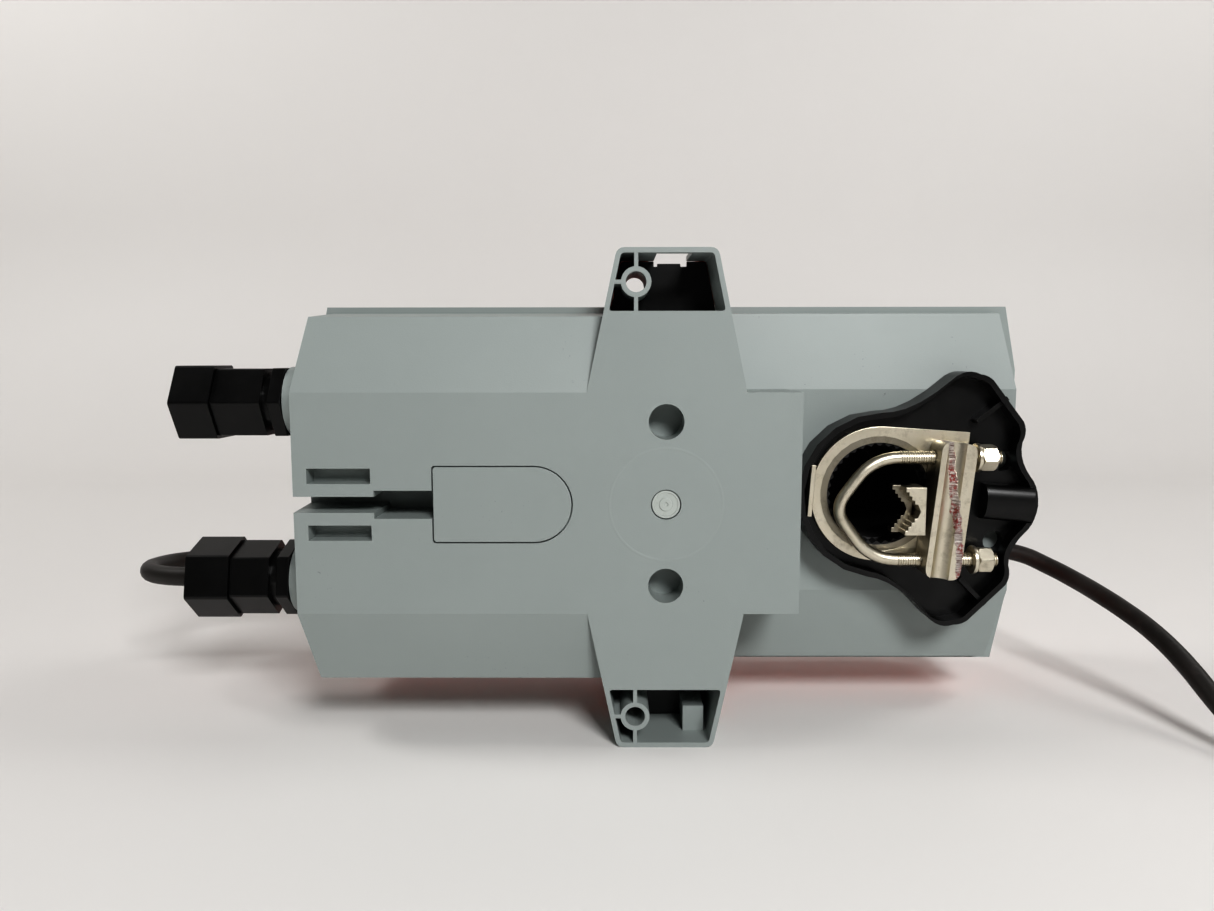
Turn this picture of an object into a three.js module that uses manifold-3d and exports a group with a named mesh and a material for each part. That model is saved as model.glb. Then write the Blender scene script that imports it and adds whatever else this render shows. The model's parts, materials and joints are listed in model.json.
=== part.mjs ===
// A spring-return rotary valve actuator that stands on one ear of its mounting crossbar.
// Housing coordinates, in millimetres: X runs along the body from the centre plug, Y runs in from the
// mounting face, Z runs up from the body's mid-plane. The last section moves the whole assembly so that the
// origin is under the middle of the object, on the surface that it stands on.
import * as THREE from "three";
import { mergeVertices } from "three/addons/utils/BufferGeometryUtils.js";
import { ConvexGeometry } from "three/addons/geometries/ConvexGeometry.js";
import Module from "manifold-3d";

const wasm = await Module();
wasm.setup();

// ---- Driving dimensions ----

const GAP = 0.3; // between pieces that touch

// Rear housing: the flat face, the sloping flanks and the low part round the spindle clamp.
const BODY_LEFT = -147.3; // end of the flat face, on the gland side
const BODY_RIGHT = 152.7; // end of the low part, on the clamp side
const FACE_HALF = 44.2; // half width of the flat face
const FLANK_HALF = 73.9; // half width where the flanks end
const FLANK_DEPTH = 9.3;
const END_SLANT = 5.5; // how far the ends turn in at the corners
const DRAFT = 0.08; // outward slope of every wall, per millimetre of depth
const RECESS_DEPTH = 37.4; // mounting face to the low part
const RECESS_SLOPE = 7.8;
const WALL = 3;
const SPLIT_DEPTH = 60; // where the rear housing meets the front cover
const RIM_DEPTH = 6.5;
const RIM_STEP = 2.2; // how far the rim stands out from the walls

// Crossbar with its two hollow ears.
const EAR_REACH = 99.7; // mid-plane to the end of an ear
const EAR_DEPTH = 31;
const EAR_TIP_HALF = 19.4;
const BAR_BASE_HALF = 31.3;
const EAR_WALL = 2;
const EAR_POCKET_START = 75.6; // mid-plane to the inner edge of an ear's pocket
const EAR_BACK = 2.2; // thickness of the plate that closes an ear
const BOLT_X = -12.05;
const BOLT_Z = 86.7;
const BOLT_R = 4;
const BOLT_BOSS_R = 5.9;
const RIB = 1.6;
const LEDGE = { left: 8.2, right: 16.8, front: 12, low: -98, high: -87 }; // block in the lower ear's pocket
const WINDOW = { left: -4, right: 9.7, front: 4, low: 95.3 }; // notch in the upper ear's end wall and plate
const LATCH_TAB = { left: -2.5, right: 7.1, high: 96.5 }; // stands up into the window from the ear plate
const LUG_NOTCH = { left: -6, right: 15, back: 78 }; // the same opening carried on through the cover's lug

// Features of the mounting face.
const BLIND_Z = 32.7;
const BLIND_R = 7;
const BLIND_DEPTH = 14;
const PLUG_R = 5.9;
const PLUG_DEPTH = 3;
const SLOT_WIDE = 11.2;
const SLOT_NARROW = 6.4;
const SLOT_STEP_X = -115.4;
const SLOT_DEPTH = 26;
const CATCH = { left: -141.7, right: -116.6, near: 8.3, far: 14.4, depth: 9 };
const COVER_PLATE = { left: -92, right: -37.3, half: 15, thick: 2.4, gap: 0.5 };

// Front cover.
const COVER_DEPTH = 108; // mounting face to the front of the cover
const COVER_SLOPE = 12;
const GASKET = 0.9;
const LUG_END = 90; // how deep the cover's two lugs reach
const LUG_START = EAR_DEPTH + 0.6;
const SCREW_XS = [-138, -50, 138];
const SCREW_Z = 65;
const SCREW_R = 2;
const SCREW_HEAD_R = 3.8;
const SCREW_HEAD = 3.2;
const SCREW_SEAT = COVER_DEPTH - 10; // depth of the underside of a screw's head

// Output hub, with its axis along Y.
const HUB_X = 92;
const HUB_R = 24;
const HUB_BORE_R = 20.2;
const HUB_START = 28.4;
const HUB_END = COVER_DEPTH + 2;
const SPLINE_R = 21.6;
const SPLINE_DEPTH = 7;
const SPLINE_TEETH = 36;
const BUSH_WALL = 3;
const FRONT_BUSH = { start: COVER_DEPTH - 11, end: COVER_DEPTH - 1 };
const INDICATOR_R = HUB_R + 8;
const RUNNING = 0.3; // radial clearance of the hub in its bushes
const HUB_TILT = 3.8; // degrees, how far the stop piece sits past the middle of its travel

// Spindle clamp on the hub's rear end.
const PLATE_FRONT = 27.6;
const PLATE_THICK = 2.5;
const PLATE_BORE_R = HUB_R + 0.7;
const PLATE_R = PLATE_BORE_R + 4.1;
const ROD_R = 2.6;
const ROD_DEPTH = 21.5; // mounting face to the rod's centreline
const ROD_DROP = -5.3; // the loose bolt hangs below the hub's axis
const ROD_HALF = 21.6;
const ROD_TIP_X = -20.5; // hub axis to the centreline at the tip of the V
const ROD_BEND_X = -4.5;
const ROD_END_X = 48;
const YOKE = { left: 18.5, right: 33, half: 28.4, front: 13.5, back: 27.2, tilt: 5.8 };
const JAW = { reach: 8.5, half: 10, front: 14.5, back: 26.8 };
const NUT_FLATS = 10;
const NUT_HEIGHT = 6.3;
const NUT_X = 39.4;
const WASHER_R = 6;
const WASHER_THICK = 1.6;
const THREAD_R = 3;

// Stop piece round the clamp.
const STOP_RING_R = HUB_R + 11;
const BLOCK_RIGHT = HUB_X - STOP_RING_R - 3.8; // end of the high part, clear of the ring
const STOP_BACK = RECESS_DEPTH - 0.6;
const STOP_FLOOR = 30.5;
const STOP_FRONT = 23;
const STOP_WALL = 2.4;
const LOBE_R = 65.8;
const LOBE_MIDDLE_R = 58; // radius of the rib in the middle of a broad lobe
const LOBE_MIDDLE = 42; // degrees from the narrow lobe to a broad lobe's rib

// Cable glands.
const GLAND_Y = 41;
const GLAND_Z = 39;
const GLAND_BORE_R = 10.2;
const BOSS_R = 15;
const BOSS_END = -160;
const LOCK_NUT = { flats: 29, length: 5.4 };
const BODY_HEX = { flats: 28.5, bore: 6.6 };
const CAP_HEX = { flats: 31.2, bore: 11.2 };
const GLANDS = [
  { name: "upper", side: 1, spin: 0, step: -190, end: -206.7 },
  { name: "lower", side: -1, spin: 17.6, step: -186, end: -204.5 },
];

// Drive inside the housing.
const MODULE = 1.8;
const GEAR_FRONT = 62;
const GEAR_BACK = 70;
const OUTPUT_TEETH = 50;
const IDLER_TEETH = 40;
const PINION_TEETH = 10;
const BACKLASH = 0.16; // taken off each flank
const DRUM = { outer: 46, wall: 1.6, front: 30, back: 55.5 };
const GEAR_PLATE = { front: 57, back: 59.5, left: -120, right: 128, half: 52 };
const SPRING_INNER_R = 26;
const ARBOR_R = 7;
const IDLER_PIN_R = 4;
const MOTOR = { r: 18, front: 72, back: 100, shaft: 2 };
const BOARD = { left: -138, right: -24, half: 52, front: 95, thick: 1.6 };

// Cable: a hand-chosen route, then one flat turn of a coil.
const CABLE_R = 4.25;
const CABLE_ROUTE = [
  [-183, 41, -39],
  [-195, 41, -39],
  [-205.5, 41.1, -39.1],
  [-223.5, 45.8, -39.6],
  [-236.7, 59, -40.8],
  [-241.5, 77, -42.3],
  [-236.7, 95, -43.9],
  [-223.5, 108.2, -45.3],
  [-205.5, 114.4, -46.4],
  [-180, 117.6, -47.6],
  [-150, 119.5, -49],
  [-110, 120.5, -50.6],
  [-60, 120.5, -51.4],
  [0, 120.5, -51],
  [60, 120.5, -49.2],
  [105, 120, -46.6],
  [138, 118.6, -43.8],
  [160, 114.8, -42.1],
  [176, 110.6, -41.6],
  [189.8, 104.6, -43],
  [199.8, 95.5, -47.2],
  [206.7, 82.5, -51.1],
  [210.6, 66.5, -54.3],
  [215, 53, -58.4],
  [218.8, 40.5, -63],
  [222.2, 29.9, -68.6],
  [224.6, 19.4, -74.8],
  [225.9, 9, -80.8],
  [227.4, -3, -86.8],
  [230.6, -16, -91.8],
  [236, -29, -94.7],
  [243.4, -38.8, -95.4],
  [251.9, -46.1, -95.45],
];
const COIL = { x: 288, y: -10, start: 225, outer: 51, pitch: 9, turns: 1.02 };
const CONDUCTOR_R = 1.3;
const CONDUCTOR_LENGTH = 30;

// ---- Geometry helpers ----

const rad = THREE.MathUtils.degToRad;
const circle = (x, z, r) => new THREE.Shape().absarc(x, z, r, 0, 2 * Math.PI, false);

// A closed three.js mesh as a solid that can be cut and joined.
function solid(geometry) {
  const bare = geometry.clone();
  bare.deleteAttribute("normal");
  bare.deleteAttribute("uv");
  const merged = mergeVertices(bare, 1e-4);
  const vertProperties = merged.attributes.position.array;
  const triVerts = new Uint32Array(merged.index.array);
  return new wasm.Manifold(new wasm.Mesh({ numProp: 3, vertProperties, triVerts }));
}

const join = (...solids) => solids.reduce((sum, next) => sum.add(next));
const cut = (from, ...tools) => tools.reduce((left, tool) => left.subtract(tool), from);

function geometryOf(made) {
  const { vertProperties, triVerts } = made.getMesh();
  const geometry = new THREE.BufferGeometry();
  geometry.setAttribute("position", new THREE.BufferAttribute(vertProperties, 3));
  geometry.setIndex(new THREE.BufferAttribute(triVerts, 1));
  geometry.computeVertexNormals();
  return geometry;
}

// A shape drawn in X and Z, extruded through the depths y0 to y1.
function slab(shape, y0, y1, curveSegments = 10) {
  const geometry = new THREE.ExtrudeGeometry(shape, { depth: y1 - y0, bevelEnabled: false, curveSegments });
  return solid(geometry.rotateX(Math.PI / 2).translate(0, y1, 0));
}

// A shape drawn in Y and Z, extruded from x0 to x1.
function bar(shape, x0, x1, curveSegments = 10) {
  const geometry = new THREE.ExtrudeGeometry(shape, { depth: x1 - x0, bevelEnabled: false, curveSegments });
  const turn = new THREE.Matrix4().makeBasis(
    new THREE.Vector3(0, 1, 0),
    new THREE.Vector3(0, 0, 1),
    new THREE.Vector3(1, 0, 0),
  );
  return solid(geometry.applyMatrix4(turn).translate(x0, 0, 0));
}

function box(x0, x1, y0, y1, z0, z1) {
  const geometry = new THREE.BoxGeometry(x1 - x0, y1 - y0, z1 - z0);
  return solid(geometry.translate((x0 + x1) / 2, (y0 + y1) / 2, (z0 + z1) / 2));
}

// A polygon whose corners are rounded with the radius r.
function rounded(points, r) {
  const corners = points.map(([x, y]) => new THREE.Vector2(x, y));
  const shape = new THREE.Shape();
  corners.forEach((corner, i) => {
    const before = corners.at(i - 1).clone().sub(corner);
    const after = corners[(i + 1) % corners.length].clone().sub(corner);
    const start = before.setLength(Math.min(r, before.length() / 2)).add(corner);
    const end = after.setLength(Math.min(r, after.length() / 2)).add(corner);
    if (i === 0) shape.moveTo(start.x, start.y);
    else shape.lineTo(start.x, start.y);
    shape.quadraticCurveTo(corner.x, corner.y, end.x, end.y);
  });
  return shape;
}

const rectangle = (x0, x1, z0, z1) => [[x0, z0], [x1, z0], [x1, z1], [x0, z1]];
const disc = (x, z, r, y0, y1, segments = 12) => slab(circle(x, z, r), y0, y1, segments);

function tube(x, z, outer, inner, y0, y1, segments = 12) {
  const shape = circle(x, z, outer);
  shape.holes.push(circle(x, z, inner));
  return slab(shape, y0, y1, segments);
}

const polygon = (points) => new THREE.Shape(points.map(([x, y]) => new THREE.Vector2(x, y)));

// A hexagon in Y and Z with one corner towards the mounting face, turned by spin degrees.
function hexagon(y, z, flats, spin = 0) {
  const r = flats / Math.sqrt(3);
  const angles = [0, 60, 120, 180, 240, 300].map((turn) => rad(turn + spin));
  return polygon(angles.map((angle) => [y - r * Math.cos(angle), z - r * Math.sin(angle)]));
}

// ---- Materials ----

const finish = (color, roughness, metalness = 0) =>
  new THREE.MeshStandardMaterial({ color, roughness, metalness });
const GREY = finish(0x8f9a98, 0.55);
const ORANGE = finish(0xd9532c, 0.45);
const BLACK = finish(0x141414, 0.4);
const DARK_RUBBER = finish(0x242321, 0.7);
const ZINC = finish(0xb9b09c, 0.35, 0.9);
const STEEL = finish(0x8d8f92, 0.4, 0.9);
const IVORY = finish(0xbfc2bd, 0.5);
const BOARD_GREEN = finish(0x2f6b45, 0.5);
const BROWN = finish(0x4a2b16, 0.5);
const BLUE = finish(0x1f4d96, 0.5);

function piece(name, made, material) {
  const mesh = new THREE.Mesh(made.isBufferGeometry ? made : geometryOf(made), material);
  mesh.name = name;
  return mesh;
}

// ---- Rear housing ----

// A block of six-sided sections, each given by its depth, ends and half width.
function drafted(sections) {
  const points = sections.flatMap(({ y, left, right, half, slant = 0, crease = half }) =>
    [-1, 1].flatMap((side) => [
      new THREE.Vector3(left, y, side * crease),
      new THREE.Vector3(left + slant, y, side * half),
      new THREE.Vector3(right, y, side * crease),
      new THREE.Vector3(right - slant, y, side * half),
    ]),
  );
  return solid(new ConvexGeometry(points));
}

// How far a wall has moved out at a depth, measured from the end of the flanks.
const spread = (y) => DRAFT * (y - FLANK_DEPTH);
const RIM_START = SPLIT_DEPTH - RIM_DEPTH;
const LAP = 18; // how far the high and low blocks run past the centre, hidden by the crossbar

// The outside of the rear housing without its crossbar, or the hollow inside it.
function housingBlock(inset, deep) {
  const high = drafted([
    { y: inset, left: BODY_LEFT + inset, right: LAP, half: FACE_HALF - inset / 2 },
    {
      y: FLANK_DEPTH + inset,
      left: BODY_LEFT + inset,
      right: LAP,
      half: FLANK_HALF - inset,
      crease: FACE_HALF,
      slant: END_SLANT,
    },
    {
      y: deep,
      left: BODY_LEFT - spread(deep) + inset,
      right: LAP,
      half: FLANK_HALF + spread(deep) - inset,
      crease: FACE_HALF,
      slant: END_SLANT,
    },
  ]);
  const lowEdge = RECESS_DEPTH + RECESS_SLOPE;
  const low = drafted([
    { y: RECESS_DEPTH + inset, left: -LAP, right: BODY_RIGHT - inset, half: FACE_HALF - inset / 2 },
    {
      y: lowEdge + inset,
      left: -LAP,
      right: BODY_RIGHT - inset,
      half: FLANK_HALF + spread(lowEdge) - inset,
      crease: FACE_HALF,
      slant: END_SLANT,
    },
    {
      y: deep,
      left: -LAP,
      right: BODY_RIGHT + spread(deep - RECESS_DEPTH) - inset,
      half: FLANK_HALF + spread(deep) - inset,
      crease: FACE_HALF,
      slant: END_SLANT,
    },
  ]);
  const middle = box(-2, BLOCK_RIGHT - inset, inset, deep, -FACE_HALF + inset, FACE_HALF - inset);
  return join(high, low, middle);
}

// The outline of the crossbar, or of one of its ears.
const barHalfAt = (z) =>
  BAR_BASE_HALF - ((BAR_BASE_HALF - EAR_TIP_HALF) * (z - FACE_HALF)) / (EAR_REACH - FACE_HALF);

function crossbar() {
  const outline = [
    [-EAR_TIP_HALF, -EAR_REACH],
    [EAR_TIP_HALF, -EAR_REACH],
    [BAR_BASE_HALF, -FACE_HALF],
    [BAR_BASE_HALF, FACE_HALF],
    [EAR_TIP_HALF, EAR_REACH],
    [-EAR_TIP_HALF, EAR_REACH],
    [-BAR_BASE_HALF, FACE_HALF],
    [-BAR_BASE_HALF, -FACE_HALF],
  ];
  const ears = slab(rounded(outline, 3), 0, EAR_DEPTH, 4);
  const half = FLANK_HALF - 1;
  const trunk = box(-barHalfAt(half), barHalfAt(half), 0, RIM_START + 1, -half, half);
  return join(ears, trunk);
}

// The pocket of the ear on one side (1 up, -1 down), with its boss and ribs left standing.
function earPocket(side) {
  const inner = side * EAR_POCKET_START;
  const outer = side * (EAR_REACH - EAR_WALL);
  const innerHalf = barHalfAt(EAR_POCKET_START) - EAR_WALL;
  const outerHalf = barHalfAt(EAR_REACH - EAR_WALL) - EAR_WALL;
  const outline = [[-innerHalf, inner], [innerHalf, inner], [outerHalf, outer], [-outerHalf, outer]];
  const boltZ = side * BOLT_Z;
  const ledge = box(LEDGE.left, LEDGE.right, LEDGE.front, EAR_DEPTH - EAR_BACK - GAP, LEDGE.low, LEDGE.high);
  return cut(
    slab(rounded(side > 0 ? outline : outline.reverse(), 1.4), -1, EAR_DEPTH + 1, 3),
    disc(BOLT_X, boltZ, BOLT_BOSS_R, -2, EAR_DEPTH - EAR_BACK - GAP, 12),
    box(BOLT_X - RIB / 2, BOLT_X + RIB / 2, -2, EAR_DEPTH - EAR_BACK - GAP, -EAR_REACH, EAR_REACH),
    box(-EAR_TIP_HALF * 2, BOLT_X, -2, EAR_DEPTH - EAR_BACK - GAP, boltZ - RIB / 2, boltZ + RIB / 2),
    ...(side < 0 ? [ledge] : []),
  );
}

const boltHole = (side) => disc(BOLT_X, side * BOLT_Z, BOLT_R, -1, EAR_DEPTH + 1, 10);

const screwPlaces = SCREW_XS.flatMap((x) => [-1, 1].map((side) => ({ x, z: side * SCREW_Z })));

const coverPlateOutline = (grow) => {
  const { left, right, half } = COVER_PLATE;
  const shape = new THREE.Shape();
  const corner = 1.5;
  shape.moveTo(left - grow, -half - grow + corner);
  shape.quadraticCurveTo(left - grow, -half - grow, left - grow + corner, -half - grow);
  shape.lineTo(right - half, -half - grow);
  shape.absarc(right - half, 0, half + grow, -Math.PI / 2, Math.PI / 2, false);
  shape.lineTo(left - grow + corner, half + grow);
  shape.quadraticCurveTo(left - grow, half + grow, left - grow, half + grow - corner);
  return shape;
};

function rearHousing() {
  const rimOut = spread(SPLIT_DEPTH) + RIM_STEP;
  const rim = drafted([RIM_START, SPLIT_DEPTH].map((y) => ({
    y,
    left: BODY_LEFT - rimOut,
    right: BODY_RIGHT + rimOut,
    half: FLANK_HALF + rimOut,
    crease: FACE_HALF + 8,
    slant: END_SLANT,
  })));
  const shell = join(housingBlock(0, RIM_START + 1), crossbar(), rim);
  const hollow = cut(
    housingBlock(WALL, SPLIT_DEPTH + 1),
    tube(HUB_X, 0, HUB_R + RUNNING + BUSH_WALL + GAP + WALL, HUB_R, RECESS_DEPTH, 52),
    box(BODY_LEFT, COVER_PLATE.right + 2, 0, SLOT_DEPTH + 2, -SLOT_WIDE / 2 - 2, SLOT_WIDE / 2 + 2),
    ...[-1, 1].map((side) => disc(0, side * BLIND_Z, BLIND_R + 2, 0, BLIND_DEPTH + 2)),
    ...[-1, 1].map((side) => catchPocket(side, 1.6)),
    ...GLANDS.map(({ side }) => bar(circle(GLAND_Y, side * GLAND_Z, BOSS_R), BODY_LEFT - 20, BODY_LEFT + 6)),
    ...screwPlaces.map(({ x, z }) => disc(x, z, 5, 0, SPLIT_DEPTH + 2, 8)),
  );
  const glandCore = (side, r, x0, x1) => bar(circle(GLAND_Y, side * GLAND_Z, r), x0, x1, 14);
  const bosses = GLANDS.map(({ side }) => glandCore(side, BOSS_R, BOSS_END, BODY_LEFT));
  return cut(
    join(shell, ...bosses),
    hollow,
    earPocket(1),
    earPocket(-1),
    boltHole(1),
    boltHole(-1),
    box(WINDOW.left, WINDOW.right, WINDOW.front, EAR_DEPTH + 1, WINDOW.low, EAR_REACH + 1),
    ...GLANDS.map(({ side }) => glandCore(side, GLAND_BORE_R, BOSS_END - 1, BODY_LEFT + 9)),
    disc(HUB_X, 0, HUB_R + RUNNING + BUSH_WALL + GAP, RECESS_DEPTH - 1, 60),
    ...[-1, 1].map((side) => disc(0, side * BLIND_Z, BLIND_R, -1, BLIND_DEPTH, 14)),
    disc(0, 0, PLUG_R + 0.1, -1, PLUG_DEPTH - 0.6, 14),
    slab(coverPlateOutline(COVER_PLATE.gap), -1, COVER_PLATE.thick + GAP),
    box(BODY_LEFT - 9, COVER_PLATE.left, -1, SLOT_DEPTH, -SLOT_NARROW / 2, SLOT_NARROW / 2),
    box(SLOT_STEP_X, COVER_PLATE.right - 8, -1, SLOT_DEPTH, -SLOT_WIDE / 2, SLOT_WIDE / 2),
    ...[-1, 1].map((side) => catchPocket(side, 0)),
    ...screwPlaces.map(({ x, z }) => disc(x, z, SCREW_R + 0.2, 46, SPLIT_DEPTH + 1, 6)),
  );
}

// One of the two shallow pockets beside the slot; grow gives the block that it is cut from.
function catchPocket(side, grow) {
  const low = side > 0 ? CATCH.near : -CATCH.far;
  const high = side > 0 ? CATCH.far : -CATCH.near;
  return box(
    CATCH.left - grow,
    CATCH.right + grow,
    grow > 0 ? 0 : -1,
    CATCH.depth + grow,
    low - grow,
    high + grow,
  );
}

// The black plate that closes the back of an ear; the upper one is notched under the window.
function earPlate(side) {
  const inner = EAR_POCKET_START + GAP;
  const outer = EAR_REACH - EAR_WALL - GAP;
  const innerHalf = barHalfAt(inner) - EAR_WALL - GAP;
  const outerHalf = barHalfAt(outer) - EAR_WALL - GAP;
  const outline = [[-innerHalf, inner], [innerHalf, inner], [outerHalf, outer], [-outerHalf, outer]];
  const placed = outline.map(([x, z]) => [x, side * z]);
  const window = cut(
    box(WINDOW.left, WINDOW.right, 0, EAR_DEPTH + 1, WINDOW.low, EAR_REACH),
    box(LATCH_TAB.left, LATCH_TAB.right, 0, EAR_DEPTH + 1, WINDOW.low - 1, LATCH_TAB.high),
  );
  return cut(
    slab(rounded(side > 0 ? placed : placed.reverse(), 1.4), EAR_DEPTH - EAR_BACK, EAR_DEPTH, 3),
    disc(BOLT_X, side * BOLT_Z, BOLT_R + 0.4, 0, EAR_DEPTH + 1, 10),
    ...(side > 0 ? [window] : []),
  );
}

// ---- Front cover ----

function coverBlock(inset, start) {
  const out = spread(SPLIT_DEPTH) + RIM_STEP - inset;
  const front = COVER_DEPTH - inset;
  return drafted([
    {
      y: start,
      left: BODY_LEFT - out,
      right: BODY_RIGHT + out,
      half: FLANK_HALF + out,
      crease: FACE_HALF + 8,
      slant: END_SLANT,
    },
    {
      y: front - COVER_SLOPE,
      left: BODY_LEFT - out + 2,
      right: BODY_RIGHT + out - 2,
      half: FLANK_HALF + out - 2,
      crease: FACE_HALF + 8,
      slant: END_SLANT,
    },
    {
      y: front,
      left: BODY_LEFT - out + COVER_SLOPE,
      right: BODY_RIGHT + out - COVER_SLOPE,
      half: FLANK_HALF + out - COVER_SLOPE - 4,
      crease: FACE_HALF - 2,
      slant: END_SLANT + 6,
    },
  ]);
}

function coverLug(side) {
  const inner = FLANK_HALF + spread(SPLIT_DEPTH) + RIM_STEP + 0.5;
  const frame = (grow) => [
    [-barHalfAt(inner) + grow, side * (inner - 1 + grow)],
    [barHalfAt(inner) - grow, side * (inner - 1 + grow)],
    [EAR_TIP_HALF - grow, side * (EAR_REACH - grow)],
    [-EAR_TIP_HALF + grow, side * (EAR_REACH - grow)],
  ];
  const facing = (points) => polygon(side > 0 ? points : points.reverse());
  const clear = side > 0 ? [0, inner] : [-inner, 0];
  const { left, right, back } = LUG_NOTCH;
  return cut(
    slab(facing(frame(0)), LUG_START, LUG_END),
    slab(facing(frame(2.4)), LUG_START - 1, LUG_END + 1),
    box(-60, 60, 0, SPLIT_DEPTH + GASKET, ...clear),
    ...(side > 0 ? [box(left, right, LUG_START - 1, back, EAR_REACH - 6, EAR_REACH + 1)] : []),
  );
}

const FRONT_FEATURES = {
  crank: { x: 11, z: 45, r: 7 },
  lock: { x: -24, z: -40, r: 11 },
  button: { x: -96, z: -40, r: 5 },
};

function frontCover() {
  const start = SPLIT_DEPTH + GASKET;
  const shell = join(coverBlock(0, start), coverLug(1), coverLug(-1));
  const hollow = cut(
    coverBlock(WALL, start - 1),
    tube(HUB_X, 0, HUB_R + RUNNING + BUSH_WALL + GAP + WALL, HUB_R, FRONT_BUSH.start - 1, COVER_DEPTH),
    ...screwPlaces.map(({ x, z }) => disc(x, z, 6, start - 2, COVER_DEPTH + 1, 8)),
  );
  return cut(
    shell,
    hollow,
    disc(HUB_X, 0, HUB_R + RUNNING + BUSH_WALL + GAP, 60, COVER_DEPTH + 1),
    ...screwPlaces.map(({ x, z }) => disc(x, z, SCREW_R + 0.3, 50, COVER_DEPTH + 1, 6)),
    ...screwPlaces.map(({ x, z }) => disc(x, z, SCREW_HEAD_R + 0.5, SCREW_SEAT - GAP, COVER_DEPTH + 1, 8)),
    ...Object.values(FRONT_FEATURES).map(({ x, z, r }) =>
      disc(x, z, r + 0.4, COVER_DEPTH - 8, COVER_DEPTH + 1, 10)),
  );
}

function gasket() {
  const band = (inset) => coverBlock(inset, SPLIT_DEPTH - 5);
  const slice = box(-400, 400, SPLIT_DEPTH + GAP / 2, SPLIT_DEPTH + GASKET - GAP / 2, -200, 200);
  const inner = housingBlock(WALL, SPLIT_DEPTH + 1);
  return cut(band(0.8).intersect(slice), inner);
}

function coverScrew({ x, z }) {
  const head = cut(
    disc(x, z, SCREW_HEAD_R, SCREW_SEAT, SCREW_SEAT + SCREW_HEAD, 8),
    box(x - 2.6, x + 2.6, SCREW_SEAT + 1.6, SCREW_SEAT + 9, z - 0.5, z + 0.5),
  );
  return join(head, disc(x, z, SCREW_R, 48, SCREW_SEAT + 0.5, 6));
}

// ---- Hub and its bearings ----

function hub() {
  const outline = new THREE.Shape();
  const steps = SPLINE_TEETH * 2;
  for (let i = 0; i < steps; i++) {
    const r = i % 2 ? SPLINE_R : HUB_BORE_R;
    const angle = (2 * Math.PI * i) / steps;
    const place = [HUB_X + r * Math.cos(angle), r * Math.sin(angle)];
    if (i === 0) outline.moveTo(...place);
    else outline.lineTo(...place);
  }
  return cut(
    disc(HUB_X, 0, HUB_R, HUB_START, HUB_END),
    disc(HUB_X, 0, HUB_BORE_R, HUB_START - 1, HUB_END + 1),
    slab(outline, HUB_START - 1, HUB_START + SPLINE_DEPTH),
  );
}

const bush = (y0, y1) => tube(HUB_X, 0, HUB_R + RUNNING + BUSH_WALL, HUB_R + RUNNING, y0, y1, 16);

function indicator() {
  const ring = tube(HUB_X, 0, INDICATOR_R, HUB_R + GAP, COVER_DEPTH + 0.5, COVER_DEPTH + 3.5, 16);
  const tip = HUB_X + INDICATOR_R;
  const pointer = slab(
    polygon([[tip - 4, -5], [tip + 7, 0], [tip - 4, 5]]),
    COVER_DEPTH + 0.5,
    COVER_DEPTH + 3.5,
  );
  return join(ring, pointer);
}

// ---- Stop piece and spindle clamp, drawn round the hub's axis ----

const polar = (r, degrees) => [r * Math.cos(rad(degrees)), r * Math.sin(rad(degrees))];

// The stop piece's outline: a round back, two broad lobes and a narrow middle one.
function stopOutline(inset = 0) {
  const shape = new THREE.Shape();
  const out = (r, degrees) => polar(r - inset, degrees);
  shape.absarc(0, 0, STOP_RING_R - inset, rad(95), rad(265), false);
  shape.bezierCurveTo(...out(35.5, -84), ...out(40, -72), ...out(58, -63.5));
  shape.quadraticCurveTo(...out(63.5, -61), ...out(LOBE_R - 1.6, -56));
  shape.quadraticCurveTo(...out(LOBE_R, -54), ...out(LOBE_R, -51));
  shape.lineTo(...out(LOBE_R, -32));
  shape.quadraticCurveTo(...out(LOBE_R, -28), ...out(62, -25));
  shape.quadraticCurveTo(...out(58.5, -19), ...out(62.5, -11));
  shape.quadraticCurveTo(...out(LOBE_R, -7), ...out(LOBE_R, 0));
  shape.quadraticCurveTo(...out(LOBE_R, 7), ...out(62.5, 11));
  shape.quadraticCurveTo(...out(58.5, 19), ...out(62, 25));
  shape.quadraticCurveTo(...out(LOBE_R, 28), ...out(LOBE_R, 32));
  shape.lineTo(...out(LOBE_R, 51));
  shape.quadraticCurveTo(...out(LOBE_R, 54), ...out(LOBE_R - 1.6, 56));
  shape.quadraticCurveTo(...out(63.5, 61), ...out(58, 63.5));
  shape.bezierCurveTo(...out(40, 72), ...out(35.5, 84), ...polar(STOP_RING_R - inset, 95));
  return shape;
}

function stopPiece() {
  const tray = cut(
    slab(stopOutline(), STOP_FRONT, STOP_BACK, 5),
    slab(stopOutline(STOP_WALL), STOP_FRONT - 1, STOP_FLOOR, 5),
  );
  const spine = slab(polygon(rectangle(44, LOBE_R - 2, -7.5, 7.5)), STOP_FRONT - 1, STOP_FLOOR + 1);
  const ribs = [-1, 1].map((side) => {
    const [x, z] = polar(LOBE_MIDDLE_R, side * LOBE_MIDDLE);
    const rib = new THREE.BoxGeometry(16, 6, 2).rotateY(rad(-side * LOBE_MIDDLE));
    return solid(rib.translate(x, STOP_FLOOR - 2.5, z));
  });
  return cut(
    join(tray, spine, ...ribs),
    disc(0, 0, HUB_R + GAP, STOP_FRONT - 2, STOP_BACK + 1),
    ...[-1, 1].map((side) => disc(52, side * 17.5, 4.5, STOP_FLOOR - 1, STOP_BACK + 1, 8)),
  );
}

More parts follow.
